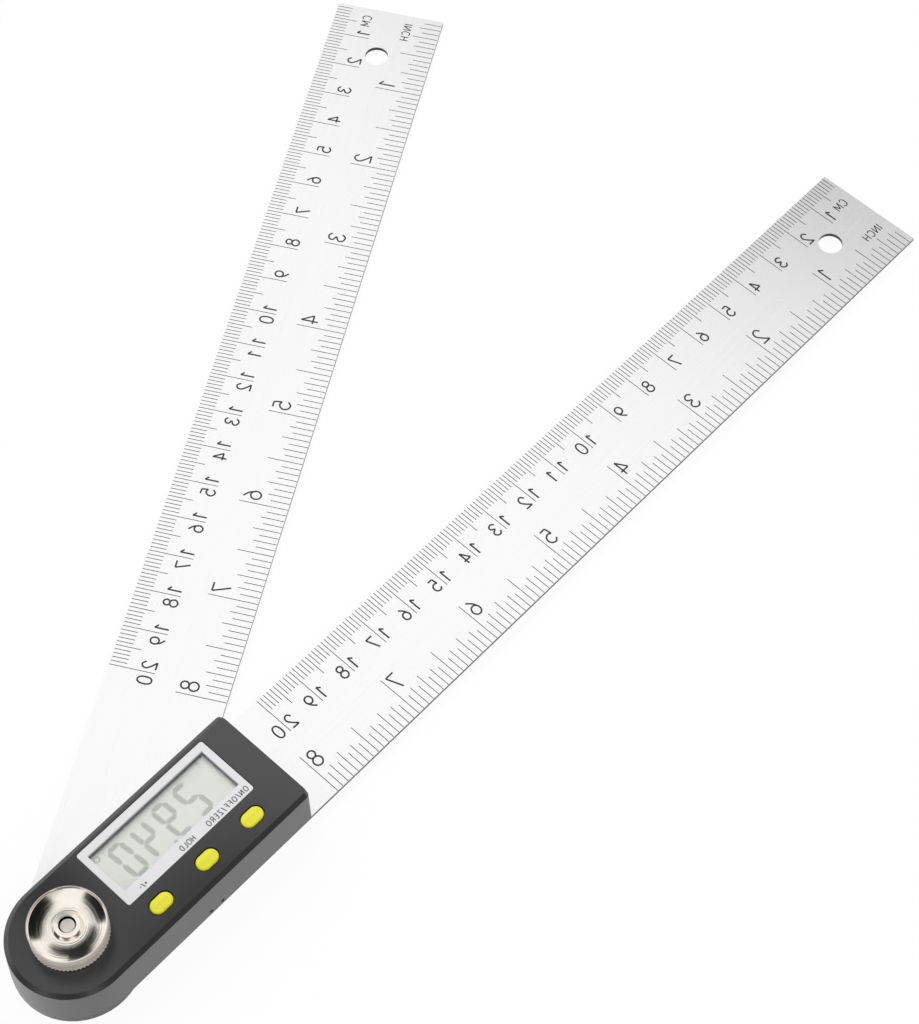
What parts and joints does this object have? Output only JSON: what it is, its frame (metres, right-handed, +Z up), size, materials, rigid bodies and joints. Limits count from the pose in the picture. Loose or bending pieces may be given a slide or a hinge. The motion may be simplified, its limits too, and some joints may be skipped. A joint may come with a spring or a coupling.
{
  "type": "angle finder with arms",
  "caption": "Digital angle finder: flat steel rule blades joined at a pivot, with a display housing over the joint, push buttons and a knurled lock knob.",
  "frame": {"origin": "on the pivot axis, at the underside of the lower (swing) blade, which lies on the table", "axes": "+X along the upper (fixed) blade towards its tip, +Z up through the lock knob, +Y towards the swing blade, which is opened 29.4 degrees at rest"},
  "size_m": [0.2805, 0.157, 0.0181],
  "materials": {
    "blade_steel": "stainless steel rule stock, brushed across, etched black scale",
    "housing_abs": "black moulded ABS, fine satin texture",
    "inner_abs": "black moulded ABS, plain",
    "fastener_steel": "zinc-plated turned steel",
    "bezel_abs": "white printed ABS",
    "lens_acrylic": "clear acrylic",
    "display_glass": "liquid crystal cell, grey-green",
    "strip_rubber": "striped silicone contact strip",
    "circuit_board": "green solder resist on glass-fibre board",
    "chip_resin": "black epoxy",
    "crystal_can": "drawn metal can",
    "capacitor_ceramic": "brown ceramic with tinned ends",
    "button_abs": "yellow moulded plastic, satin",
    "cell_steel": "nickel-plated stainless steel can",
    "contact_bronze": "gold-plated phosphor bronze strip",
    "seal_rubber": "nitrile rubber",
    "shim_nylon": "natural nylon sheet",
    "hub_steel": "turned aluminium alloy, bright",
    "knob_nickel": "nickel-plated turned brass, knurled rim"
  },
  "bodies": {
    "housing": {"fixed_blade": "blade_steel", "cover": "housing_abs", "chassis": "inner_abs", "housing_screws": "fastener_steel", "display_bezel": "bezel_abs", "display_lens": "lens_acrylic", "display_glass": "display_glass", "zebra_strips": "strip_rubber", "main_board": "circuit_board", "processor_chip": "chip_resin", "clock_crystal": "crystal_can", "chip_capacitors": "capacitor_ceramic", "button_switches": "crystal_can", "battery_cell": "cell_steel", "contact_plus": "contact_bronze", "contact_minus": "contact_bronze", "clamp_ring": "fastener_steel", "blade_shim": "shim_nylon"},
    "swing_arm": {"swing_blade": "blade_steel", "pivot_hub": "hub_steel", "hub_rivets": "fastener_steel", "pivot_bolt": "fastener_steel", "rotor_disc": "circuit_board"},
    "washer": {"knob_washer": "fastener_steel"},
    "knob": {"lock_knob": "knob_nickel"},
    "power_key": {"power_button": "button_abs"},
    "hold_key": {"hold_button": "button_abs"},
    "reverse_key": {"reverse_button": "button_abs"},
    "cap": {"battery_cap": "inner_abs", "cap_seal": "seal_rubber"}
  },
  "joints": [
    {"name": "arm_swing", "type": "hinge", "parent": "housing", "child": "swing_arm", "pos_m": [0, 0, 0], "axis": [0, 0, 1], "continuous": true},
    {"name": "knob_lift", "type": "slide", "parent": "swing_arm", "child": "washer", "axis": [0, 0, 1], "range_m": [0, 0.0005]},
    {"name": "knob_turn", "type": "hinge", "parent": "washer", "child": "knob", "pos_m": [0, 0, 0], "axis": [0, 0, 1], "range_deg": [0, 360]},
    {"name": "power_press", "type": "slide", "parent": "housing", "child": "power_key", "axis": [0, 0, -1], "range_m": [0, 0.0006], "stiffness_N_per_m": 1800, "springref_m": -0.0006},
    {"name": "hold_press", "type": "slide", "parent": "housing", "child": "hold_key", "axis": [0, 0, -1], "range_m": [0, 0.0006], "stiffness_N_per_m": 1800, "springref_m": -0.0006},
    {"name": "reverse_press", "type": "slide", "parent": "housing", "child": "reverse_key", "axis": [0, 0, -1], "range_m": [0, 0.0006], "stiffness_N_per_m": 1800, "springref_m": -0.0006},
    {"name": "cap_turn", "type": "hinge", "parent": "housing", "child": "cap", "pos_m": [0.033, 0, 0], "axis": [0, 0, -1], "range_deg": [0, 60]}
  ],
  "couplings": [
    {"joint": "knob_lift", "follows": "knob_turn", "m_per_rad": 0.000079577}
  ]
}
